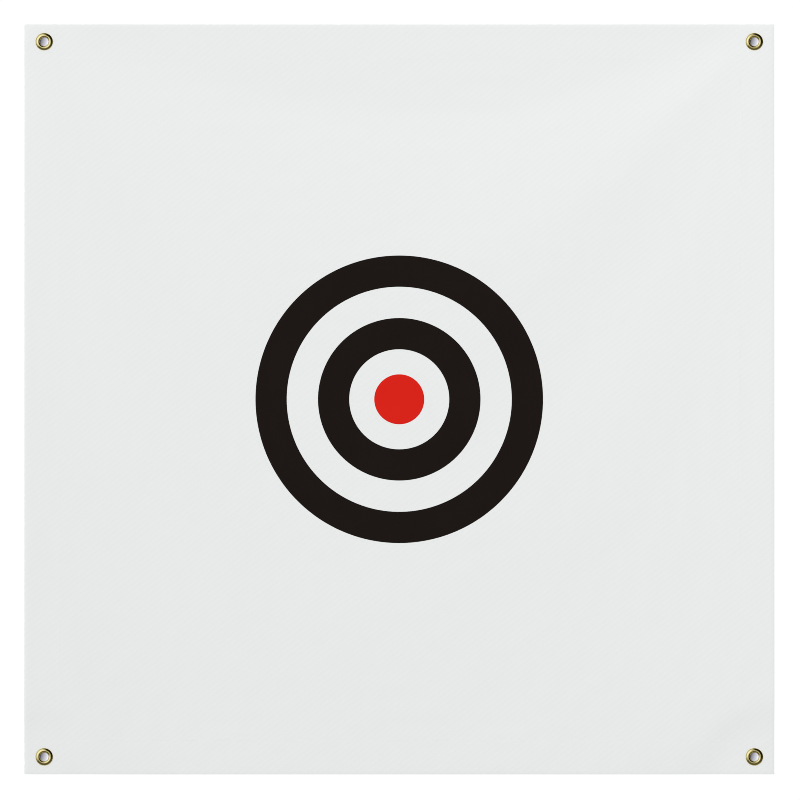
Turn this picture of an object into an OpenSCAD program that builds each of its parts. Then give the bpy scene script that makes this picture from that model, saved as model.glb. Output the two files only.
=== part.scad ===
// Golf chipping target sheet: a square of heavy white cloth with its edges turned back into mitred
// hems, a printed bullseye, and a brass eyelet and washer set in each corner to hang it by.
//
// The sheet hangs in the XZ plane and is hit on its -Y face. The origin is the centre of the
// bullseye, halfway through the two layers of cloth that meet at the hem. Units are millimetres.

/* [Cloth] */
// Finished width of the sheet, along X
sheet_w = 1200; // [600:10:2000]
// Finished height of the sheet, along Z
sheet_h = 1200; // [600:10:2000]
// Thickness of one layer of cloth
cloth_t = 0.9; // [0.4:0.1:1.5]
// Width of the turned-back hem
hem_w = 60; // [55:1:90]

/* [Seam] */
// Distance from the hem's inner edge to its row of stitches
seam_inset = 6; // [3:0.5:8]
// Thickness of the sewing thread
thread_d = 0.5; // [0.3:0.1:0.8]

/* [Eyelets] */
// Diameter of the hole that a cord or hook goes through
eyelet_hole_d = 14; // [8:0.5:16]
// Outer diameter of the eyelet's front flange
eyelet_od = 28; // [24:0.5:30]
// Outer diameter of the washer behind the cloth
washer_od = 27; // [24:0.5:30]
// How far the flange and the curl stand off the cloth
eyelet_rise = 1.6; // [1.4:0.1:2.5]
// Thickness of the sheet brass
metal_t = 0.5; // [0.3:0.05:0.6]
// Distance from the side edge of the sheet to an eyelet's centre
eyelet_inset_x = 32; // [24:1:34]
// Distance from the top or bottom edge of the sheet to an eyelet's centre
eyelet_inset_z = 28; // [24:1:34]

/* [Target] */
// Diameter of the red centre
centre_d = 80; // [40:5:100]
// Width of the white band next to the red centre
centre_gap = 40; // [20:5:50]
// Width of each black ring
ring_w = 50; // [20:5:60]
// Width of the white band between the black rings
ring_gap = 50; // [20:5:60]
// Thickness of the printed ink
ink_t = 0.12; // [0.08:0.02:0.3]

/* [Hidden] */

// Left and right, and bottom and top, as signs along X and Z
LEFT = -1;
RIGHT = 1;
BOTTOM = -1;
TOP = 1;

front_y = -cloth_t;
back_y = cloth_t;

// Middles of the eyelets, and the lines that the hem seams follow
eyelet_x = sheet_w / 2 - eyelet_inset_x;
eyelet_z = sheet_h / 2 - eyelet_inset_z;
seam_x = sheet_w / 2 - hem_w + seam_inset;
seam_z = sheet_h / 2 - hem_w + seam_inset;

// Eyelet radii: the bore, the outside of its barrel, and the hole cut for it in the cloth
bore_r = eyelet_hole_d / 2;
barrel_r = bore_r + metal_t;
barrel_play = 0.05;
cloth_hole_r = barrel_r + barrel_play;

// The flange's rounded section: a superellipse, squarer than a circle
flange_squareness = 2.5;
flange_half_w = (eyelet_od / 2 - bore_r) / 2;
flange_mid_r = bore_r + flange_half_w;

// The curl that closes the barrel over the washer
washer_t = 0.55;
washer_top_y = back_y + washer_t;
curl_r = back_y + eyelet_rise - washer_top_y;
curl_mid_r = bore_r + curl_r;

// Print radii, from the middle outwards
inner_ring_r = centre_d / 2 + centre_gap;
outer_ring_r = inner_ring_r + ring_w + ring_gap;

arc_steps = 12;
round_fn = 96;
ring_fn = 180;

cloth_colour = [0.92, 0.93, 0.925];
hem_colour = [0.88, 0.89, 0.885];
thread_colour = [0.97, 0.97, 0.95];
black_ink = [0.12, 0.10, 0.09];
red_ink = [0.86, 0.14, 0.11];
brass_colour = [0.80, 0.66, 0.32];

// Points of an arc of radius r about centre c, from angle a to angle b, ends included
function arc(c, r, a, b) =
    [for (i = [0 : arc_steps]) let (t = a + (b - a) * i / arc_steps) c + r * [cos(t), sin(t)]];

// Points of half a superellipse above y = 0, from +half_w to -half_w, in front of the cloth
function flange_section(half_w, rise) =
    [for (i = [0 : 2 * arc_steps])
        let (t = 180 * i / (2 * arc_steps), c = cos(t), s = max(sin(t), 0))
        [flange_mid_r + sign(c) * half_w * pow(abs(c), 2 / flange_squareness),
         front_y - rise * pow(s, 2 / flange_squareness)]];

function reversed(points) = [for (i = [len(points) - 1 : -1 : 0]) points[i]];

// Turns a (radius, y) section into a ring about the Y axis
module ring_about_y(section) {
    rotate([-90, 0, 0])
        rotate_extrude($fn = round_fn)
            polygon(section);
}

// Lays a flat shape drawn in (x, z) into the XZ plane, from y0 to y0 + t
module slab(y0, t) {
    translate([0, y0 + t, 0])
        rotate([90, 0, 0])
            linear_extrude(height = t)
                children();
}

module at_eyelet(side, level) {
    translate([side * eyelet_x, 0, level * eyelet_z])
        children();
}

// Holes cut through the cloth for the four eyelet barrels, as flat circles
module eyelet_holes() {
    for (side = [LEFT, RIGHT], level = [BOTTOM, TOP])
        translate([side * eyelet_x, level * eyelet_z])
            circle(r = cloth_hole_r, $fn = round_fn);
}

module target_sheet() {
    color(cloth_colour)
        slab(front_y, cloth_t)
            difference() {
                square([sheet_w, sheet_h], center = true);
                eyelet_holes();
            }
}

// One turned-back edge, cut at 45 degrees at both ends. It is drawn along the bottom edge of a
// sheet of the given length, whose edge is half_across from the middle.
module hem_outline(length, half_across) {
    polygon([
        [-length / 2, -half_across],
        [length / 2, -half_across],
        [length / 2 - hem_w, hem_w - half_across],
        [hem_w - length / 2, hem_w - half_across]
    ]);
}

module hem(turn, length, half_across) {
    color(hem_colour)
        slab(0, cloth_t)
            difference() {
                rotate(turn)
                    hem_outline(length, half_across);
                eyelet_holes();
            }
}

module bottom_hem() hem(0, sheet_w, sheet_h / 2);
module right_hem() hem(90, sheet_h, sheet_w / 2);
module top_hem() hem(180, sheet_w, sheet_h / 2);
module left_hem() hem(270, sheet_h, sheet_w / 2);

// A straight six-sided thread along X, lying on the front of the cloth, and its twin on the back
module seam_threads(length) {
    thread_flat = thread_d / 2 * cos(30);
    color(thread_colour)
        for (y = [front_y - thread_flat, back_y + thread_flat])
            translate([-length / 2, y, 0])
                rotate([0, 90, 0])
                    cylinder(h = length, d = thread_d, $fn = 6);
}

module level_seam(level) {
    translate([0, 0, level * seam_z])
        seam_threads(2 * seam_x);
}

module upright_seam(side) {
    translate([side * seam_x, 0, 0])
        rotate([0, 90, 0])
            seam_threads(2 * seam_z - 2 * thread_d);
}

module top_hem_thread() level_seam(TOP);
module bottom_hem_thread() level_seam(BOTTOM);
module left_hem_thread() upright_seam(LEFT);
module right_hem_thread() upright_seam(RIGHT);

// Printed ink on the front of the cloth, as a disc or as a ring round the bullseye's centre
module ink_ring(inner_r, width) {
    slab(front_y - ink_t, ink_t)
        difference() {
            circle(r = inner_r + width, $fn = ring_fn);
            if (inner_r > 0)
                circle(r = inner_r, $fn = ring_fn);
        }
}

module outer_ring_print() color(black_ink) ink_ring(outer_ring_r, ring_w);
module inner_ring_print() color(black_ink) ink_ring(inner_ring_r, ring_w);
module centre_dot_print() color(red_ink) ink_ring(0, centre_d / 2);

// Stamped eyelet: a hollow domed flange in front, a straight barrel through the cloth, and the
// barrel's end curled over the washer behind
module eyelet() {
    curl_centre = [curl_mid_r, washer_top_y];
    outside = concat(
        flange_section(flange_half_w, eyelet_rise),
        arc(curl_centre, curl_r, 180, 0)
    );
    inside = concat(
        flange_section(flange_half_w - metal_t, eyelet_rise - metal_t),
        arc(curl_centre, curl_r - metal_t, 180, 0)
    );
    color(brass_colour)
        ring_about_y(concat(outside, reversed(inside)));
}

// Flat ring behind the cloth, rounded over at its outer edge
module washer() {
    edge_centre = [washer_od / 2 - washer_t, back_y];
    color(brass_colour)
        ring_about_y(concat(
            [[cloth_hole_r, washer_top_y], [cloth_hole_r, back_y]],
            arc(edge_centre, washer_t, 0, 90)
        ));
}

module top_left_eyelet() at_eyelet(LEFT, TOP) eyelet();
module top_right_eyelet() at_eyelet(RIGHT, TOP) eyelet();
module bottom_left_eyelet() at_eyelet(LEFT, BOTTOM) eyelet();
module bottom_right_eyelet() at_eyelet(RIGHT, BOTTOM) eyelet();

module top_left_washer() at_eyelet(LEFT, TOP) washer();
module top_right_washer() at_eyelet(RIGHT, TOP) washer();
module bottom_left_washer() at_eyelet(LEFT, BOTTOM) washer();
module bottom_right_washer() at_eyelet(RIGHT, BOTTOM) washer();

target_sheet();
top_hem();
bottom_hem();
left_hem();
right_hem();
top_hem_thread();
bottom_hem_thread();
left_hem_thread();
right_hem_thread();
outer_ring_print();
inner_ring_print();
centre_dot_print();
top_left_eyelet();
top_right_eyelet();
bottom_left_eyelet();
bottom_right_eyelet();
top_left_washer();
top_right_washer();
bottom_left_washer();
bottom_right_washer();
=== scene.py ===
import math

import bmesh
import bpy
import numpy as np
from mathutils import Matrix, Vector

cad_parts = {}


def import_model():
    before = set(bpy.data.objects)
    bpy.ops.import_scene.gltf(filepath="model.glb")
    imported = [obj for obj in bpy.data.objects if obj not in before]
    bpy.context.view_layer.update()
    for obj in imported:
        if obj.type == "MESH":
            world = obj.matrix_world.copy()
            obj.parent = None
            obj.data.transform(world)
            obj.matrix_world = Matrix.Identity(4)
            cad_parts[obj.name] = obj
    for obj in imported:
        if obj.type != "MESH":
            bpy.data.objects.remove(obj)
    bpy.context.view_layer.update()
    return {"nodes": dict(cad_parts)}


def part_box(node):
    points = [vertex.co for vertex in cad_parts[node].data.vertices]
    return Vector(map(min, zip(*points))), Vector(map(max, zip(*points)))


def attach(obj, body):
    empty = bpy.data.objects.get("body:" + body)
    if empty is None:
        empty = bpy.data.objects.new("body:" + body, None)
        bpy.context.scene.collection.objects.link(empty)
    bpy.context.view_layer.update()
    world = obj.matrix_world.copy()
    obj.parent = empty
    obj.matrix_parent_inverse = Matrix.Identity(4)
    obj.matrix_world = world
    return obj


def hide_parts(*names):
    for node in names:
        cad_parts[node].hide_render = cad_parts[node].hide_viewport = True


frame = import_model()

# Metres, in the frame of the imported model. The sheet hangs in the XZ plane, and balls hit its
# printed face, which looks along -Y.
MM = 0.001
CORNERS = {
    "top_left": (-1, 1),
    "top_right": (1, 1),
    "bottom_left": (-1, -1),
    "bottom_right": (1, -1),
}
HEMS = ("bottom_hem", "right_hem", "top_hem", "left_hem")

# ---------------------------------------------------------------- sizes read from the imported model


def middle(node):
    """Centre of a node's box."""
    low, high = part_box(node)
    return (low + high) / 2


def radii(node):
    """Least and greatest distance of a round node's points from its own axis along Y."""
    centre = middle(node)
    points = frame["nodes"][node].data.vertices
    reach = [math.hypot(p.co.x - centre.x, p.co.z - centre.z) for p in points]
    return min(reach), max(reach)


SHEET_LOW, SHEET_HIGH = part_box("target_sheet")
HALF = SHEET_HIGH.x
CLOTH = SHEET_HIGH.y - SHEET_LOW.y
FRONT_Y = SHEET_LOW.y
BACK_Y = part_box("bottom_hem")[1].y
HEM_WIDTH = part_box("bottom_hem")[1].z - SHEET_LOW.z
SEAM = -middle("bottom_hem_thread").z
THREAD_R = (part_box("bottom_hem_thread")[1].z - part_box("bottom_hem_thread")[0].z) / 2
INK = FRONT_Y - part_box("outer_ring_print")[0].y
EYELETS = {corner: middle(corner + "_eyelet") for corner in CORNERS}
BORE_R, FLANGE_R = radii("top_left_eyelet")
CLOTH_HOLE_R, WASHER_R = radii("top_left_washer")
FLANGE_Y, CURL_Y = (corner.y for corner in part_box("top_left_eyelet"))
WASHER_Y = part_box("top_left_washer")[1].y
OUTER_RING = radii("outer_ring_print")
INNER_RING = radii("inner_ring_print")
CENTRE_DOT = (0.0, radii("centre_dot_print")[1])

# ---------------------------------------------------------------- how the hanging cloth lies

# The simulation's grid and length, how slack its cloth is, and how near an eyelet it is pinned
DRAPE_CELLS = 60
DRAPE_FRAMES = 36
DRAPE_SLACK = 0.012
PIN_REACH = 24 * MM
# A slight unevenness that decides which way the flat cloth starts to fold
RIPPLE = 2 * MM

# Its result is scaled to this much in and out, and this much along the sheet
DRAPE_DEPTH = 5.5 * MM
DRAPE_SLIP = 0.35 * MM
# The cloth lies flat this near an eyelet, and hangs freely from this far on
FLAT_REACH = 17 * MM
FREE_REACH = 90 * MM

# Small puckers that the crimped flange leaves round itself
PUCKER_DEPTH = 0.22 * MM
PUCKER_FADE = 13 * MM
PUCKER_START = 4 * MM
PUCKER_FOLDS = 7


def smooth_step(value, low, high):
    """Rises from 0 to 1, with soft ends, as value goes from low to high."""
    t = np.clip((value - low) / (high - low), 0, 1)
    return t * t * (3 - 2 * t)


def eyelet_distance(x, z):
    """Distance in plan from each point to the nearest eyelet's middle."""
    reach = [np.hypot(x - c.x, z - c.z) for c in EYELETS.values()]
    return np.min(reach, axis=0)


def grid_faces(rows, columns, wrap=False):
    """Corner numbers of a point grid's quads; wrap also joins the last row to the first."""
    last_row = rows if wrap else rows - 1
    i, j = np.meshgrid(np.arange(last_row), np.arange(columns - 1), indexing="ij")
    a = i * columns + j
    b = (i + 1) % rows * columns + j
    return np.stack([a, b, b + 1, a + 1], -1).reshape(-1, 4)


def link(name, data):
    """Puts a mesh, lamp or camera into the scene as an object."""
    thing = bpy.data.objects.new(name, data)
    bpy.context.scene.collection.objects.link(thing)
    return thing


def new_object(name, points, faces):
    mesh = bpy.data.meshes.new(name)
    mesh.from_pydata(points.tolist(), [], faces if isinstance(faces, list) else faces.tolist())
    mesh.update()
    return link(name, mesh)


def hung_cloth():
    """Cloth simulation of a slightly slack sheet that hangs from its four eyelets.

    Returns how far each point of a coarse grid moves from flat, scaled down to a sheet that is tied
    almost tight: at most DRAPE_DEPTH in and out, and DRAPE_SLIP along the sheet."""
    line = np.linspace(-HALF, HALF, DRAPE_CELLS + 1)
    x, z = np.meshgrid(line, line, indexing="ij")
    ripple = RIPPLE * np.sin(5.3 * x + 2.1) * np.cos(4.1 * z - 0.7)
    start = np.stack([x, ripple, z], -1)
    study = new_object("drape_study", start.reshape(-1, 3), grid_faces(*x.shape))
    pinned = np.flatnonzero(eyelet_distance(x, z).ravel() < PIN_REACH)
    study.vertex_groups.new(name="pins").add(pinned.tolist(), 1.0, "REPLACE")
    cloth = study.modifiers.new("cloth", "CLOTH")
    cloth.settings.quality = 6
    cloth.settings.mass = 0.15
    cloth.settings.vertex_group_mass = "pins"
    cloth.settings.tension_stiffness = 30
    cloth.settings.compression_stiffness = 30
    cloth.settings.shear_stiffness = 10
    cloth.settings.bending_stiffness = 4
    cloth.settings.tension_damping = 15
    cloth.settings.bending_damping = 2
    cloth.settings.air_damping = 3
    cloth.settings.shrink_min = -DRAPE_SLACK
    cloth.point_cache.frame_start = 1
    cloth.point_cache.frame_end = DRAPE_FRAMES
    for step in range(1, DRAPE_FRAMES + 1):
        bpy.context.scene.frame_set(step)
    hung = study.evaluated_get(bpy.context.evaluated_depsgraph_get())
    points = np.empty(len(hung.data.vertices) * 3)
    hung.data.vertices.foreach_get("co", points)
    bpy.data.objects.remove(study)
    bpy.context.scene.frame_set(1)
    move = points.reshape(start.shape) - np.stack([x, np.zeros_like(x), z], -1)
    deep = np.abs(move[..., 1]).max()
    slip = np.abs(move[..., (0, 2)]).max()
    return move * [DRAPE_SLIP / slip, DRAPE_DEPTH / deep, DRAPE_SLIP / slip]


DRAPE = hung_cloth()


def cubic_weights(t):
    """Catmull-Rom weights of four neighbours at a share t of the way between the middle two."""
    return [
        0.5 * (-t + 2 * t**2 - t**3),
        0.5 * (2 - 5 * t**2 + 3 * t**3),
        0.5 * (t + 4 * t**2 - 3 * t**3),
        0.5 * (-(t**2) + t**3),
    ]


def draped(points):
    """Moves flat points of the cloth, its print or its threads to where the hanging cloth lies."""
    x, z = points[:, 0], points[:, 2]
    along = (np.stack([x, z]) + HALF) / (2 * HALF) * DRAPE_CELLS
    cell = np.clip(np.floor(along).astype(int), 0, DRAPE_CELLS - 1)
    weights = cubic_weights(along - cell)
    move = np.zeros_like(points)
    for i in range(4):
        for j in range(4):
            row = np.clip(cell[0] + i - 1, 0, DRAPE_CELLS)
            column = np.clip(cell[1] + j - 1, 0, DRAPE_CELLS)
            move += (weights[i][0] * weights[j][1])[:, None] * DRAPE[row, column]
    move *= smooth_step(eyelet_distance(x, z), FLAT_REACH, FREE_REACH)[:, None]
    for turn, centre in enumerate(EYELETS.values()):
        away = np.hypot(x - centre.x, z - centre.z)
        angle = np.arctan2(z - centre.z, x - centre.x)
        fold = np.cos(PUCKER_FOLDS * angle + turn) + 0.6 * np.cos(3 * angle + 2 * turn)
        fade = np.exp(-np.maximum(away - FLANGE_R, 0) / PUCKER_FADE)
        start = smooth_step(away, FLANGE_R, FLANGE_R + PUCKER_START)
        move[:, 1] += PUCKER_DEPTH * fold * fade * start
    return points + move


# ---------------------------------------------------------------- meshes

# Steps round a rounded edge, along the cloth and hems, round and across the print, and round brass
ROUND_STEPS = 4
CLOTH_STEP = 6 * MM
HEM_STEP = 4 * MM
RING_STEPS = 288
RING_STEP = 4 * MM
LATHE_STEPS = 96
HOLE_STEPS = 64

# Rounding of the hem's cut edge, and how deep the ink soaks in
RAW_EDGE_R = 0.3 * MM
INK_SOAK = 0.05 * MM

# The groove that the stitches pull into the hem, and the puff of the cloth on both sides of it
GROOVE_STEPS = np.array([-2.4, -1.2, -0.5, 0, 0.5, 1.2, 2.4]) * MM
GROOVE_DEPTH = 0.28 * MM
GROOVE_WIDTH = 1.1 * MM
PUFF = 0.10 * MM
PUFF_LENGTH = 23 * MM
PUFF_DRIFT = 71 * MM
PUFF_START = 20 * MM
# The hem is pressed flat this near a washer's rim, and free from this far on
WASHER_FLAT = 1 * MM
WASHER_FREE = 12 * MM

# Stitch length, the thread's own unevenness, and how deep each strand's needle holes sit
STITCH = 4 * MM
STITCH_SLACK = 0.02
STITCH_STRAY = 0.06 * MM
STITCH_SLANT = 0.16 * MM
STITCH_SIDES = 6
FRONT_SINK = 0.16 * MM
BACK_SINK = 0.2 * MM
# One stitch, as shares of its length and heights above the cloth in millimetres
STITCH_SHAPE = np.array([
    (0.0, -0.45), (0.12, 0.02), (0.3, 0.12), (0.5, 0.15), (0.7, 0.12), (0.88, 0.02),
])


def quarter(radius):
    """Distances from an edge, from 0 to radius, that step evenly round a quarter circle."""
    return radius * (1 - np.cos(np.linspace(0, math.pi / 2, ROUND_STEPS + 1)))


def crown(distance, radius):
    """Height, as a share of 1, of a rounded edge at some distance in from it."""
    inside = np.clip(1 - distance / radius, 0, 1)
    return np.sqrt(1 - inside**2)


def even_line(low, high, step):
    """Evenly spaced values from low to high, about one step apart."""
    return np.linspace(low, high, max(2, round((high - low) / step) + 1))


def smooth_shade(piece):
    faces = piece.data.polygons
    faces.foreach_set("use_smooth", np.ones(len(faces), bool))


def tidy(piece):
    """Joins points that fall together and turns every face outwards."""
    work = bmesh.new()
    work.from_mesh(piece.data)
    bmesh.ops.remove_doubles(work, verts=work.verts, dist=1e-7)
    bmesh.ops.recalc_face_normals(work, faces=work.faces)
    if work.calc_volume(signed=True) < 0:
        bmesh.ops.reverse_faces(work, faces=work.faces)
    work.to_mesh(piece.data)
    work.free()


def move_points(piece, mover):
    """Replaces a piece's points by what mover makes of them."""
    points = np.empty(len(piece.data.vertices) * 3)
    piece.data.vertices.foreach_get("co", points)
    piece.data.vertices.foreach_set("co", mover(points.reshape(-1, 3)).ravel())
    piece.data.update()


def slab(name, x, z, front, back, wrap=False):
    """A closed sheet of cloth or ink over a grid of plan points, between two heights along Y."""
    rows, columns = x.shape
    count = rows * columns
    front_side = np.stack([x, np.broadcast_to(front, x.shape), z], -1).reshape(-1, 3)
    back_side = np.stack([x, np.broadcast_to(back, x.shape), z], -1).reshape(-1, 3)
    quads = grid_faces(rows, columns, wrap)
    number = np.arange(count).reshape(rows, columns)
    if wrap:
        loops = [np.append(number[:, -1], number[0, -1])]
        if np.ptp(x[:, 0]) > 0:
            loops.append(np.append(number[:, 0], number[0, 0]))
    else:
        rim = [number[:, 0], number[-1, 1:], number[-2::-1, -1], number[0, -2::-1]]
        loops = [np.concatenate(rim)]
    walls = [
        np.stack([loop[:-1], loop[1:], loop[1:] + count, loop[:-1] + count], -1) for loop in loops
    ]
    faces = np.concatenate([quads, quads[:, ::-1] + count, *walls])
    piece = new_object(name, np.concatenate([front_side, back_side]), faces)
    tidy(piece)
    return piece


def cut_eyelet_holes(piece, corners):
    """Cuts the holes that the eyelets' barrels pass through, while the cloth is still flat."""
    for corner in corners:
        centre = EYELETS[corner]
        turn = np.linspace(0, 2 * math.pi, HOLE_STEPS, endpoint=False)
        x = np.stack([centre.x + CLOTH_HOLE_R * np.cos(turn)] * 2, -1)
        z = np.stack([centre.z + CLOTH_HOLE_R * np.sin(turn)] * 2, -1)
        y = np.broadcast_to([2 * FLANGE_Y, 2 * CURL_Y], x.shape)
        points = np.stack([x, y, z], -1).reshape(-1, 3)
        cutter = new_object("cutter", points, grid_faces(HOLE_STEPS, 2, wrap=True))
        work = bmesh.new()
        work.from_mesh(cutter.data)
        bmesh.ops.holes_fill(work, edges=work.edges)
        bmesh.ops.recalc_face_normals(work, faces=work.faces)
        work.to_mesh(cutter.data)
        work.free()
        hole = piece.modifiers.new("hole", "BOOLEAN")
        hole.operation = "DIFFERENCE"
        hole.solver = "MANIFOLD"
        hole.object = cutter
        cut = piece.evaluated_get(bpy.context.evaluated_depsgraph_get())
        mesh = bpy.data.meshes.new_from_object(cut)
        piece.modifiers.clear()
        piece.data = mesh
        bpy.data.objects.remove(cutter)


def sheet_cloth():
    """The front layer, whose outer edge rounds back into the fold of the hem."""
    rim = quarter(CLOTH)
    middle_line = even_line(CLOTH - HALF, HALF - CLOTH, CLOTH_STEP)
    line = np.concatenate([rim[:-1] - HALF, middle_line, HALF - rim[-2::-1]])
    x, z = np.meshgrid(line, line, indexing="ij")
    fold = crown(HALF - np.abs(x), CLOTH) * crown(HALF - np.abs(z), CLOTH)
    piece = slab("sheet_cloth", x, z, FRONT_Y * fold, SHEET_HIGH.y)
    cut_eyelet_holes(piece, CORNERS)
    move_points(piece, draped)
    smooth_shade(piece)
    return piece


def hem_cloth(number, name):
    """One turned-back edge. It is drawn along the bottom and turned to its own side."""
    rim = quarter(CLOTH)
    raw = quarter(RAW_EDGE_R)
    seam_v = HALF - SEAM
    groove = seam_v + GROOVE_STEPS
    across = np.concatenate([
        rim[:-1],
        even_line(CLOTH, groove[0], HEM_STEP)[:-1],
        groove,
        HEM_WIDTH - raw[::-1],
    ])
    ends = raw[:-1] / HALF
    inner = np.linspace(raw[-1] / HALF - 1, 1 - raw[-1] / HALF, round(2 * HALF / HEM_STEP) + 1)
    share = np.concatenate([ends - 1, inner, 1 - ends[::-1]])
    s, v = np.meshgrid(share, across, indexing="ij")
    x, z = s * (HALF - v), v - HALF
    mitre = (1 - np.abs(s)) * (HALF - v)
    raw_share = RAW_EDGE_R / CLOTH
    raw_crown = 1 - raw_share * (1 - crown(np.minimum(mitre, HEM_WIDTH - v), RAW_EDGE_R))
    eyelet_x, _, eyelet_z = EYELETS["bottom_right"]
    from_washer = np.hypot(np.abs(x) - eyelet_x, z - eyelet_z) - WASHER_R
    free = smooth_step(from_washer, WASHER_FLAT, WASHER_FREE)
    dip = GROOVE_DEPTH * np.exp(-(((v - seam_v) / GROOVE_WIDTH) ** 2))
    wave = np.sin(2 * math.pi * x / PUFF_LENGTH + 3 * np.sin(x / PUFF_DRIFT) + number)
    puff = PUFF * wave * smooth_step(v, PUFF_START, seam_v)
    height = (BACK_Y + free * (puff - dip)) * crown(v, CLOTH) * raw_crown
    piece = slab(name + "_cloth", x, z, 0 * v, height)
    turn = number * math.pi / 2
    c, n = round(math.cos(turn)), round(math.sin(turn))

    def to_own_side(p):
        return np.stack([c * p[:, 0] - n * p[:, 2], p[:, 1], n * p[:, 0] + c * p[:, 2]], -1)

    move_points(piece, to_own_side)
    cut_eyelet_holes(piece, [corner for corner, (x, z) in CORNERS.items() if x == n or z == -c])
    move_points(piece, draped)
    smooth_shade(piece)
    return piece


def print_film(name, inner, outer):
    """A film of ink with a rounded edge: a ring, or a disc where the inner radius is 0."""
    edge = quarter(INK)
    inside = inner + edge if inner > 0 else [0.0, RING_STEP]
    reach = np.concatenate([
        inside[:-1],
        even_line(inside[-1], outer - INK, RING_STEP),
        outer - edge[-2::-1],
    ])
    turn = np.linspace(0, 2 * math.pi, RING_STEPS, endpoint=False)
    t, r = np.meshgrid(turn, reach, indexing="ij")
    from_edge = np.minimum(outer - r, r - inner if inner > 0 else outer)
    front = FRONT_Y - INK * crown(from_edge, INK)
    piece = slab(name, r * np.cos(t), r * np.sin(t), front, FRONT_Y + INK_SOAK, wrap=True)
    move_points(piece, draped)
    smooth_shade(piece)
    return piece


def lathe(name, section, centre, wobble=None):
    """Turns a closed (radius, y) section about an eyelet's axis."""
    turn = np.linspace(0, 2 * math.pi, LATHE_STEPS, endpoint=False)
    section = np.array(section)
    t = turn[:, None]
    r = np.broadcast_to(section[:, 0], (LATHE_STEPS, len(section)))
    y = np.broadcast_to(section[:, 1], r.shape)
    if wobble is not None:
        r, y = wobble(t, r, y)
    points = np.stack([centre.x + r * np.cos(t), y, centre.z + r * np.sin(t)], -1)
    closed = np.concatenate([points, points[:, :1]], 1)
    faces = grid_faces(LATHE_STEPS, len(section) + 1, wrap=True)
    piece = new_object(name, closed.reshape(-1, 3), faces)
    tidy(piece)
    smooth_shade(piece)
    return piece


# Thickness of the sheet brass, how far the flange's crest sits inwards, and the crimping marks
METAL = 0.5 * MM
RIDGE_SHIFT = 0.7 * MM
CRIMP = 0.06 * MM
# Width of the narrow band of faces beside the washer's rounded rim
WASHER_BAND = 1.6 * MM


def arc(centre, radius, start, end, steps):
    """Points of an arc in a (radius, y) section, from one angle to another in degrees."""
    angle = np.radians(np.linspace(start, end, steps + 1))
    return centre + radius * np.stack([np.cos(angle), np.sin(angle)], -1)


def flange_arc(half_width, rise, steps):
    """Half an ellipse standing out of the cloth's front, from the flange's rim to its bore."""
    middle_r = (BORE_R + FLANGE_R) / 2
    angle = np.linspace(0, math.pi, steps + 1)
    c, s = np.cos(angle), np.clip(np.sin(angle), 0, 1)
    return np.stack([middle_r + half_width * c - RIDGE_SHIFT * s**2, FRONT_Y - rise * s], -1)


def eyelet(corner):
    """A stamped ring: a hollow domed flange, a barrel, and its end curled over the washer."""
    half_width = (FLANGE_R - BORE_R) / 2
    rise = FRONT_Y - FLANGE_Y
    curl_r = CURL_Y - WASHER_Y
    curl = (BORE_R + curl_r, WASHER_Y)
    section = np.concatenate([
        flange_arc(half_width, rise, 40),
        arc(curl, curl_r, 180, 0, 16),
        arc(curl, curl_r - METAL, 0, 180, 12),
        flange_arc(half_width - METAL, rise - METAL, 24)[::-1],
    ])
    phase = len(corner)

    def crimp(t, r, y):
        press = smooth_step(y, WASHER_Y, CURL_Y)
        pinch = np.cos(11 * t + phase) + 0.5 * np.cos(5 * t + 2 * phase)
        return r + CRIMP * press * pinch * smooth_step(r, curl[0], curl[0] + curl_r), y

    return lathe(corner + "_brass_eyelet", section, EYELETS[corner], crimp)


def washer(corner):
    """A pressed ring behind the cloth, rounded over at its rim."""
    thick = WASHER_Y - BACK_Y
    section = np.concatenate([
        [(CLOTH_HOLE_R, BACK_Y), (CLOTH_HOLE_R, WASHER_Y)],
        [(WASHER_R - thick - WASHER_BAND, WASHER_Y)],
        arc((WASHER_R - thick, BACK_Y), thick, 90, 0, 10),
    ])
    return lathe(corner + "_brass_washer", section, EYELETS[corner])


def strand(start, end, surface_y, outward, seed):
    """One thread of a lockstitch: it lies on the cloth between needle holes and dips into each."""
    length = (end - start).length
    count = round(length / STITCH)
    share, lift = STITCH_SHAPE.T
    rng = np.random.default_rng(seed)
    slack = rng.normal(0, STITCH_SLACK, count)
    stray = rng.normal(0, STITCH_STRAY, count)
    k = np.arange(count)[:, None]
    along = ((k + share) * length / count).ravel()
    height = (lift + slack[:, None] * (lift > 0)).ravel() * MM
    side = (stray[:, None] + STITCH_SLANT * (share - 0.5)).ravel()
    along = np.append(along, length)
    height = np.append(height, lift[0] * MM)
    side = np.append(side, 0)
    direction = np.array((end - start).normalized())
    sideways = np.cross(direction, [0, 1, 0])
    centre = np.array(start) + along[:, None] * direction + side[:, None] * sideways
    centre[:, 1] = surface_y + outward * height
    turn = np.linspace(0, 2 * math.pi, STITCH_SIDES, endpoint=False)
    ring = np.cos(turn)[:, None] * sideways + np.sin(turn)[:, None] * np.array([0, 1, 0])
    points = centre[None, :, :] + THREAD_R * ring[:, None, :]
    return points, grid_faces(STITCH_SIDES, len(along), wrap=True)


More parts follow.
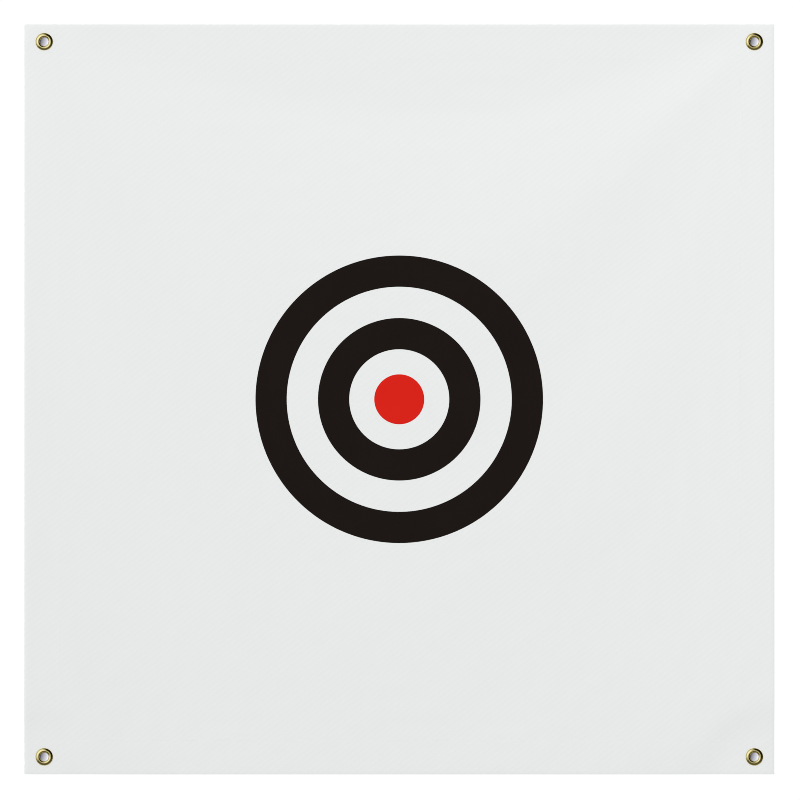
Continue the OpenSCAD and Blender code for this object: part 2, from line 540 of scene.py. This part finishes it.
def hem_stitches(number, name):
    """The row of lockstitch along one hem: a strand on the front and a strand on the back."""
    low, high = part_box(name + "_thread")
    across = high.x - low.x > high.z - low.z
    centre = (low + high) / 2
    half = (high - low) / 2
    step = Vector((half.x, 0, 0)) if across else Vector((0, 0, half.z))
    middle_line = Vector((centre.x, 0, centre.z))
    parts, faces, count = [], [], 0
    for surface_y, outward in ((FRONT_Y + FRONT_SINK, -1), (BACK_Y - BACK_SINK, 1)):
        seed = 10 * number + outward + 1
        points, quads = strand(middle_line - step, middle_line + step, surface_y, outward, seed)
        length = points.shape[1]
        first_cap = count + length * np.arange(STITCH_SIDES)
        last_cap = (first_cap + length - 1)[::-1]
        parts.append(points.reshape(-1, 3))
        faces += (quads + count).tolist() + [first_cap.tolist(), last_cap.tolist()]
        count += len(parts[-1])
    piece = new_object(name + "_stitches", draped(np.concatenate(parts)), faces)
    tidy(piece)
    smooth_shade(piece)
    return piece


# ---------------------------------------------------------------- materials

# The slope of the twill's lines, its yarn spacing each way, and the spacing of its broad wales
TWILL_ANGLE = math.radians(37)
WARP = 0.8 * MM
WEFT = WARP * math.tan(TWILL_ANGLE)
WALE = 7.6 * MM
# One turn of the sewing thread's twist
THREAD_TWIST = 0.45 * MM
# Heights of the relief that is shaded rather than modelled
YARN_BUMP = 0.12 * MM
THREAD_BUMP = 0.05 * MM
BRASS_BUMP = 0.02 * MM

# Seen from behind: how far the print shows through, and how much painted shade greys one layer against
# two
SHOW_THROUGH = 0.09
SINGLE_LAYER_PAINTED_SHADE = 0.025
PRINT_BLUR = 1 * MM

# Linear colours. Each material varies between two, and the print is paler seen from behind
WHITE = (0.845, 0.865, 0.860, 1), (0.850, 0.866, 0.853, 1)
BLACK_INK = (0.0098, 0.0066, 0.0050, 1), (0.0158, 0.0112, 0.0092, 1)
RED_INK = (0.69, 0.0125, 0.0065, 1), (0.75, 0.021, 0.0125, 1)
BRASS = (0.86, 0.75, 0.33, 1), (0.91, 0.81, 0.39, 1)
TARNISH = (0.50, 0.38, 0.15, 1)
BLACK_FROM_BEHIND = (0.30, 0.30, 0.31, 1)
RED_FROM_BEHIND = (0.80, 0.35, 0.33, 1)
NO_LIGHT = (0, 0, 0, 1)

# Noise scales that draw its streaks out along X and along Z
ALONG_X = (1, 1, 14)
ALONG_Z = (14, 1, 1)


class Nodes:
    """Short ways to add shader nodes to one material or world."""

    def __init__(self, tree):
        self.tree = tree
        tree.nodes.clear()

    def add(self, kind, values=None, **settings):
        """A node with its settings, each input given as a plain value or as a socket to link."""
        node = self.tree.nodes.new(kind)
        for key, value in settings.items():
            setattr(node, key, value)
        for key, value in (values or {}).items():
            if isinstance(value, bpy.types.NodeSocket):
                self.tree.links.new(value, node.inputs[key])
            else:
                node.inputs[key].default_value = value
        return node

    def math(self, operation, a, b=0.0, c=0.0):
        return self.add("ShaderNodeMath", {0: a, 1: b, 2: c}, operation=operation).outputs[0]

    def plus(self, *terms):
        total = terms[0]
        for term in terms[1:]:
            total = self.math("ADD", total, term)
        return total

    def times(self, *factors):
        product = factors[0]
        for factor in factors[1:]:
            product = self.math("MULTIPLY", product, factor)
        return product

    def greatest(self, *values):
        best = values[0]
        for value in values[1:]:
            best = self.math("MAXIMUM", best, value)
        return best

    def ramp(self, value, low, high, to_low=0.0, to_high=1.0, smooth=True):
        """Maps low to to_low and high to to_high, and holds the value outside them."""
        kind = "SMOOTHSTEP" if smooth else "LINEAR"
        values = {0: value, 1: low, 2: high, 3: to_low, 4: to_high}
        return self.add("ShaderNodeMapRange", values, interpolation_type=kind).outputs[0]

    def vector(self, operation, a, b=(0, 0, 0), output="Vector"):
        node = self.add("ShaderNodeVectorMath", {0: a, 1: b}, operation=operation)
        return node.outputs[output]

    def noise(self, place, scale, detail=2.0, stretch=(1, 1, 1)):
        scaled = self.vector("MULTIPLY", place, stretch)
        values = {"Vector": scaled, "Scale": scale, "Detail": detail}
        return self.add("ShaderNodeTexNoise", values).outputs["Fac"]

    def mix(self, share, a, b, blend="MIX"):
        values = {0: share, 6: a, 7: b}
        node = self.add("ShaderNodeMix", values, data_type="RGBA", blend_type=blend)
        return node.outputs[2]

    def colour(self, red, green, blue):
        return self.add("ShaderNodeCombineColor", {0: red, 1: green, 2: blue}).outputs[0]

    def bump(self, height, strength, distance):
        values = {"Strength": strength, "Distance": distance, "Height": height}
        return self.add("ShaderNodeBump", values).outputs[0]

    def place(self):
        """The point in the object's frame."""
        return self.add("ShaderNodeTexCoord").outputs["Object"]

    def parts(self, vector):
        return self.add("ShaderNodeSeparateXYZ", {0: vector}).outputs

    def background(self, colour, strength):
        values = {"Color": colour, "Strength": strength}
        return self.add("ShaderNodeBackground", values).outputs[0]

    def mix_shaders(self, share, a, b):
        return self.add("ShaderNodeMixShader", {0: share, 1: a, 2: b}).outputs[0]


def new_material(name):
    material = bpy.data.materials.new(name)
    material.use_nodes = True
    return material, Nodes(material.node_tree)


def finish_material(nodes, values):
    """Adds the surface shader, with the given values for its inputs."""
    shader = nodes.add("ShaderNodeBsdfPrincipled", values)
    nodes.add("ShaderNodeOutputMaterial", {"Surface": shader.outputs[0]})


def float_height(nodes, along, across, shift):
    """Height of one set of yarns: each lies over two of the others, then dives under two."""
    phase = nodes.math("SUBTRACT", along, nodes.plus(nodes.math("FLOOR", across), shift))
    phase = nodes.math("FLOORED_MODULO", phase, 4.0)
    arch = nodes.greatest(nodes.math("SINE", nodes.times(phase, math.pi / 2)), 0.0)
    body = nodes.math("SINE", nodes.times(nodes.math("FRACT", across), math.pi))
    return nodes.times(nodes.math("POWER", arch, 0.5), body)


def twill(nodes, x, z):
    """Height of a two-over-two twill, 0 to 1, and the broad wales that run along it, -1 to 1."""
    u = nodes.math("DIVIDE", x, WARP)
    v = nodes.math("DIVIDE", z, WEFT)
    warp_high = float_height(nodes, v, u, 0.0)
    weft_high = float_height(nodes, u, v, 1.0)
    yarn = nodes.greatest(warp_high, nodes.times(weft_high, 0.85))
    lean = nodes.times(x, -math.sin(TWILL_ANGLE))
    rise = nodes.math("MULTIPLY_ADD", z, math.cos(TWILL_ANGLE), lean)
    wale = nodes.math("SINE", nodes.times(rise, 2 * math.pi / WALE))
    return yarn, wale


def weave_bump(nodes, yarn, wale, strength=1.0):
    height = nodes.math("MULTIPLY_ADD", wale, 0.12, nodes.times(yarn, 0.6))
    return nodes.bump(height, 0.5 * strength, YARN_BUMP)


def ring_mask(nodes, reach, inner, outer):
    """1 between two distances from the middle, with blurred edges, and 0 elsewhere."""
    below = nodes.ramp(reach, outer - PRINT_BLUR, outer + PRINT_BLUR, 1.0, 0.0)
    if inner == 0:
        return below
    return nodes.times(nodes.ramp(reach, inner - PRINT_BLUR, inner + PRINT_BLUR), below)


def cloth_material():
    """White twill, greyed behind by painted shade where it is one layer, with the print showing
    faintly through.
    """
    material, nodes = new_material("white_twill")
    point = nodes.place()
    x, _, z = nodes.parts(point)
    yarn, wale = twill(nodes, x, z)
    slub = nodes.noise(point, 60, 3.0, ALONG_X)
    pick = nodes.noise(point, 60, 3.0, ALONG_Z)
    patch = nodes.noise(point, 5, 4.0)
    tone = 0.985
    shares = ((wale, 0.006), (yarn, 0.012), (slub, 0.010), (pick, 0.010), (patch, 0.012))
    for pattern, share in shares:
        tone = nodes.math("MULTIPLY_ADD", pattern, share, tone)
    grey = nodes.colour(tone, tone, tone)
    colour = nodes.mix(1.0, nodes.mix(patch, *WHITE), grey, "MULTIPLY")

    normal = nodes.add("ShaderNodeNewGeometry").outputs["Normal"]
    behind = nodes.ramp(nodes.parts(normal)[1], 0.2, 0.6)
    span = nodes.greatest(nodes.math("ABSOLUTE", x), nodes.math("ABSOLUTE", z))
    single = nodes.math("LESS_THAN", span, HALF - HEM_WIDTH)
    # Painted shade: behind, the single layer is darkened as though light passes through it
    colour = nodes.mix(nodes.times(single, behind, SINGLE_LAYER_PAINTED_SHADE), colour, NO_LIGHT)
    reach = nodes.math("POWER", nodes.plus(nodes.times(x, x), nodes.times(z, z)), 0.5)
    for ring, ink in (
        (OUTER_RING, BLACK_FROM_BEHIND),
        (INNER_RING, BLACK_FROM_BEHIND),
        (CENTRE_DOT, RED_FROM_BEHIND),
    ):
        seen = nodes.times(ring_mask(nodes, reach, *ring), behind, SHOW_THROUGH)
        colour = nodes.mix(seen, colour, ink)
    finish_material(nodes, {
        "Base Color": colour,
        "Roughness": nodes.ramp(yarn, 0, 1, 0.9, 0.75),
        "Specular IOR Level": 0.2,
        "Sheen Weight": 0.08,
        "Sheen Roughness": 0.5,
        "Normal": weave_bump(nodes, yarn, wale),
    })
    return material


def thread_material():
    """Slightly glossy twisted sewing thread."""
    material, nodes = new_material("white_thread")
    point = nodes.place()
    twist = nodes.times(nodes.plus(*nodes.parts(point)), 2 * math.pi / THREAD_TWIST)
    fuzz = nodes.noise(point, 900, 2.0)
    # Paler than the cloth: partly the thread's own whiteness, partly painted light that offsets the
    # shade of its own relief
    tone = nodes.math("MULTIPLY_ADD", fuzz, 0.03, 0.90)
    finish_material(nodes, {
        "Base Color": nodes.colour(tone, tone, nodes.times(tone, 0.985)),
        "Roughness": nodes.ramp(fuzz, 0, 1, 0.45, 0.65),
        "Sheen Weight": 0.1,
        "Normal": nodes.bump(nodes.math("SINE", twist), 0.4, THREAD_BUMP),
    })
    return material


def ink_material(name, dark, light):
    """Matt ink in the weave: thinner, and so paler, on the crowns of the yarn."""
    material, nodes = new_material(name)
    point = nodes.place()
    x, _, z = nodes.parts(point)
    yarn, wale = twill(nodes, x, z)
    patch = nodes.noise(point, 14, 4.0)
    share = nodes.math("MULTIPLY_ADD", yarn, 0.4, nodes.times(patch, 0.6))
    finish_material(nodes, {
        "Base Color": nodes.mix(share, dark, light),
        "Roughness": nodes.ramp(patch, 0, 1, 0.55, 0.7),
        "Specular IOR Level": 0.06,
        "Normal": weave_bump(nodes, yarn, wale, 0.8),
    })
    return material


def brass_material():
    """Bright pressed brass with fine specks of tarnish."""
    material, nodes = new_material("stamped_brass")
    point = nodes.place()
    cloud = nodes.noise(point, 260, 4.0)
    speck = nodes.noise(point, 1800, 3.0)
    dull = nodes.times(nodes.ramp(speck, 0.60, 0.80), 0.25)
    finish_material(nodes, {
        "Base Color": nodes.mix(dull, nodes.mix(cloud, *BRASS), TARNISH),
        "Metallic": 1.0,
        "Roughness": nodes.ramp(cloud, 0.3, 0.7, 0.05, 0.10),
        "Normal": nodes.bump(speck, 0.15, BRASS_BUMP),
    })
    return material


# ---------------------------------------------------------------- the object

def dress(piece, material, node):
    """Gives a piece its material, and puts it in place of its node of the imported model."""
    piece.data.materials.clear()
    piece.data.materials.append(material)
    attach(piece, "root")
    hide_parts(node)


white_cloth = cloth_material()
white_thread = thread_material()
black_ink = ink_material("black_ink", *BLACK_INK)
red_ink = ink_material("red_ink", *RED_INK)
brass = brass_material()

dress(sheet_cloth(), white_cloth, "target_sheet")
for number, hem in enumerate(HEMS):
    dress(hem_cloth(number, hem), white_cloth, hem)
    dress(hem_stitches(number, hem), white_thread, hem + "_thread")
dress(print_film("outer_ring_ink", *OUTER_RING), black_ink, "outer_ring_print")
dress(print_film("inner_ring_ink", *INNER_RING), black_ink, "inner_ring_print")
dress(print_film("centre_dot_ink", *CENTRE_DOT), red_ink, "centre_dot_print")
for corner in CORNERS:
    dress(eyelet(corner), brass, corner + "_eyelet")
    dress(washer(corner), brass, corner + "_washer")

# ---------------------------------------------------------------- studio

FLOOR_DROP = 0.20
FLOOR_R = 1.05
FLOOR_GREY = (0.82, 0.82, 0.82, 1)
WHITE_LIGHT = (1, 1, 1, 1)

# A long lens, and how much of the picture's width the sheet takes up
LENS = 400.0
SENSOR = 36.0
SHEET_SHARE = 0.9377
CAMERA_REACH = 2 * HALF / SHEET_SHARE * LENS / SENSOR
CAMERA_X = 1.2 * MM
CAMERA_Z = -1.2 * MM

# The cards behind the eyelets: their size and place, and their painted shade and light from left to
# right
CARD_R = 14 * MM
CARD_Y = 5 * MM
CARD_LEAN = -0.25
CARD_PAINTED_SHADE = (0.08, 0.075, 0.10, 1)
CARD_PAINTED_LIGHT = (0.90, 0.91, 1.0, 1)
CARD_LIT = (0.95, 0.93, 0.88, 1)
# The painted shadow on a card lies beyond a circle about a spot right of and below the card's middle
SHADOW = (0.015, 0.01, 0.01, 1)
SHADOW_START = 6.5 * MM
SHADOW_END = 7.5 * MM
SPOT_RIGHT = 0.9 * MM
SPOT_DOWN = 0.3 * MM

# Warm where the brass mirrors a dim part of the studio, and cool where it mirrors a bright one
DIM_TINT = (1.0, 0.92, 0.65, 1)
BRIGHT_TINT = (1.0, 1.02, 1.15, 1)


def disc(name, centre, radius, rings, steps, level):
    """A flat round stage piece, laid level like a floor or stood upright like a card."""
    turn = np.linspace(0, 2 * math.pi, steps, endpoint=False)
    t, r = np.meshgrid(turn, np.linspace(0, radius, rings), indexing="ij")
    out, up = r * np.cos(t), r * np.sin(t)
    flat = np.zeros(t.shape)
    points = np.stack([out, up, flat] if level else [out, flat, up], -1) + np.array(centre)
    piece = new_object(name, points.reshape(-1, 3), grid_faces(*t.shape, wrap=True))
    tidy(piece)
    return piece


def floor():
    """A pale floor below the sheet that fades into the white background at its rim."""
    piece = disc("floor", (0, 0, SHEET_LOW.z - FLOOR_DROP), FLOOR_R, 9, 96, True)
    material, nodes = new_material("pale_floor")
    x, y, _ = nodes.parts(nodes.place())
    plan = nodes.add("ShaderNodeCombineXYZ", {0: x, 1: y}).outputs[0]
    reach = nodes.vector("LENGTH", plan, output="Value")
    diffuse = nodes.add("ShaderNodeBsdfDiffuse", {"Color": FLOOR_GREY}).outputs[0]
    glow = nodes.add("ShaderNodeEmission", {"Color": WHITE_LIGHT}).outputs[0]
    mixed = nodes.mix_shaders(nodes.ramp(reach, 0.5 * FLOOR_R, FLOOR_R), diffuse, glow)
    nodes.add("ShaderNodeOutputMaterial", {"Surface": mixed})
    piece.data.materials.append(material)
    piece.visible_glossy = piece.visible_diffuse = False


def hole_card(corner):
    """A glowing card close behind an eyelet, for the shaded surface that shows through its hole:
    painted shade that brightens from left to right, a painted lit crescent and a painted shadow round
    its rim.

    Only the camera sees it, and only from in front. Its middle lies on the camera's line through
    the middle of the eyelet."""
    centre = EYELETS[corner] * (1 + (CARD_Y - FRONT_Y) / CAMERA_REACH)
    piece = disc(corner + "_card", (centre.x, CARD_Y, centre.z), CARD_R, 2, 48, False)
    material, nodes = new_material("painted_shade_card")
    incoming = nodes.add("ShaderNodeNewGeometry").outputs["Incoming"]
    facing = nodes.vector("DOT_PRODUCT", incoming, (0, -1, 0), "Value")
    point = nodes.place()
    x, _, z = nodes.parts(point)
    lean = nodes.times(nodes.math("SUBTRACT", z, centre.z), CARD_LEAN)
    across = nodes.math("MULTIPLY_ADD", nodes.math("SUBTRACT", x, centre.x), 0.94, lean)
    across = nodes.ramp(across, -BORE_R, BORE_R, smooth=False)
    shade = nodes.mix(across, CARD_PAINTED_SHADE, CARD_PAINTED_LIGHT)
    shade = nodes.mix(nodes.ramp(across, 0.80, 0.92), shade, CARD_LIT)
    spot = (centre.x + SPOT_RIGHT, CARD_Y, centre.z - SPOT_DOWN)
    from_spot = nodes.vector("DISTANCE", point, spot, "Value")
    shade = nodes.mix(nodes.ramp(from_spot, SHADOW_START, SHADOW_END), shade, SHADOW)
    # The card glows with its painted shade, light and shadow, though it is no lamp
    painted_light = nodes.add("ShaderNodeEmission", {"Color": shade}).outputs[0]
    clear = nodes.add("ShaderNodeBsdfTransparent").outputs[0]
    mixed = nodes.mix_shaders(nodes.ramp(facing, 0.1, 0.3), clear, painted_light)
    nodes.add("ShaderNodeOutputMaterial", {"Surface": mixed})
    piece.data.materials.append(material)
    piece.visible_diffuse = piece.visible_glossy = False
    piece.visible_shadow = piece.visible_transmission = False


def aim(lamp, direction):
    """Turns a lamp so that its beam runs along a direction."""
    lamp.rotation_mode = "QUATERNION"
    lamp.rotation_quaternion = Vector(direction).to_track_quat("-Z", "Y")


def area_light(name, place, size, power):
    """A square soft light, aimed at the middle of the sheet, that no camera or mirror sees."""
    data = bpy.data.lights.new(name, "AREA")
    data.shape = "SQUARE"
    data.size = size
    data.energy = power
    lamp = link(name, data)
    lamp.location = place
    aim(lamp, -Vector(place))
    lamp.visible_glossy = lamp.visible_camera = False


def sun_light(name, towards, strength, spread):
    """Soft parallel light from the given direction, which brings out folds and weave."""
    data = bpy.data.lights.new(name, "SUN")
    data.energy = strength
    data.angle = math.radians(spread)
    lamp = link(name, data)
    aim(lamp, -Vector(towards))
    lamp.visible_glossy = False


def mirrored_studio(nodes, x, y, z):
    """How bright each direction is for the brass: lit from the upper left, dark on the upper right.

    In front of the sheet it is the brightest of a window, a patch round the camera, the floor, the
    far upper left, and the walls to the left and below. Behind it, it rises from left to right."""
    ahead = nodes.math("ABSOLUTE", y)
    sideways = nodes.math("SQRT", nodes.math("MULTIPLY_ADD", y, nodes.times(y, -1.0), 1.0))
    sideways = nodes.greatest(sideways, 0.02)
    window = nodes.math("MULTIPLY_ADD", x, -0.866, nodes.times(z, 0.5))
    window = nodes.ramp(nodes.math("DIVIDE", window, sideways), 0.22, 1.0, 0.0, 1.08)
    window = nodes.times(window, nodes.ramp(ahead, 0.76, 0.88, 0.45, 1.0))
    camera_patch = nodes.ramp(ahead, 0.965, 0.99, 0.0, 0.47)
    floor_glow = nodes.ramp(z, 0.1, -0.5, 0.01, 0.11)
    far_left = nodes.ramp(nodes.math("SUBTRACT", z, x), 0.1, 0.5)
    far_left = nodes.times(far_left, nodes.ramp(ahead, 0.30, 0.18))
    walls = nodes.ramp(nodes.math("MULTIPLY_ADD", z, 0.6, x), 0.6, 0.1)
    walls = nodes.times(walls, nodes.ramp(ahead, 0.80, 0.55, 0.0, 0.32))
    front = nodes.greatest(window, camera_patch, floor_glow, far_left, walls)
    behind = nodes.ramp(nodes.math("MULTIPLY_ADD", z, 0.4, x), -0.5, 0.8, 0.12, 0.95)
    share = nodes.ramp(y, 0.30, 0.60)
    return nodes.add("ShaderNodeMix", {0: share, 2: front, 3: behind}).outputs[0]


def world():
    """White to the camera, a soft white dome for the cloth, and a lopsided studio for the brass."""
    scene_world = bpy.data.worlds.new("studio")
    bpy.context.scene.world = scene_world
    scene_world.use_nodes = True
    nodes = Nodes(scene_world.node_tree)
    x, y, z = nodes.parts(nodes.add("ShaderNodeTexCoord").outputs["Generated"])
    shine = mirrored_studio(nodes, x, y, z)
    tint = nodes.mix(nodes.ramp(shine, 0.2, 0.8), DIM_TINT, BRIGHT_TINT)
    ray = nodes.add("ShaderNodeLightPath").outputs
    dome_strength = nodes.ramp(nodes.math("ABSOLUTE", y), 0.35, 0.75, 0.60, 0.695)
    dome = nodes.background(WHITE_LIGHT, dome_strength)
    mirrored = nodes.background(tint, shine)
    sky = nodes.background(WHITE_LIGHT, 1.05)
    lit = nodes.mix_shaders(ray["Is Glossy Ray"], dome, mirrored)
    seen = nodes.mix_shaders(ray["Is Camera Ray"], lit, sky)
    nodes.add("ShaderNodeOutputWorld", {"Surface": seen})


def camera():
    """Square on to the printed face, far enough off for the sheet to fill its share of the picture."""
    data = bpy.data.cameras.new("camera")
    data.lens = LENS
    data.sensor_width = SENSOR
    cam = link("camera", data)
    cam.location = (CAMERA_X, FRONT_Y - CAMERA_REACH, CAMERA_Z)
    cam.rotation_euler = (math.pi / 2, 0, 0)
    bpy.context.scene.camera = cam


floor()
for corner in CORNERS:
    hole_card(corner)
world()
area_light("key", (1.1, -3.0, 3.6), 1.8, 36)
area_light("back", (-1.8, 2.4, 1.8), 1.2, 12)
sun_light("rake", (-0.80, -0.55, 0.30), 1.2, 12)
sun_light("back_rake", (-0.75, 0.42, 0.60), 1.3, 20)
camera()
bpy.context.scene.view_settings.view_transform = "Standard"
bpy.context.scene.cycles.filter_width = 0.9
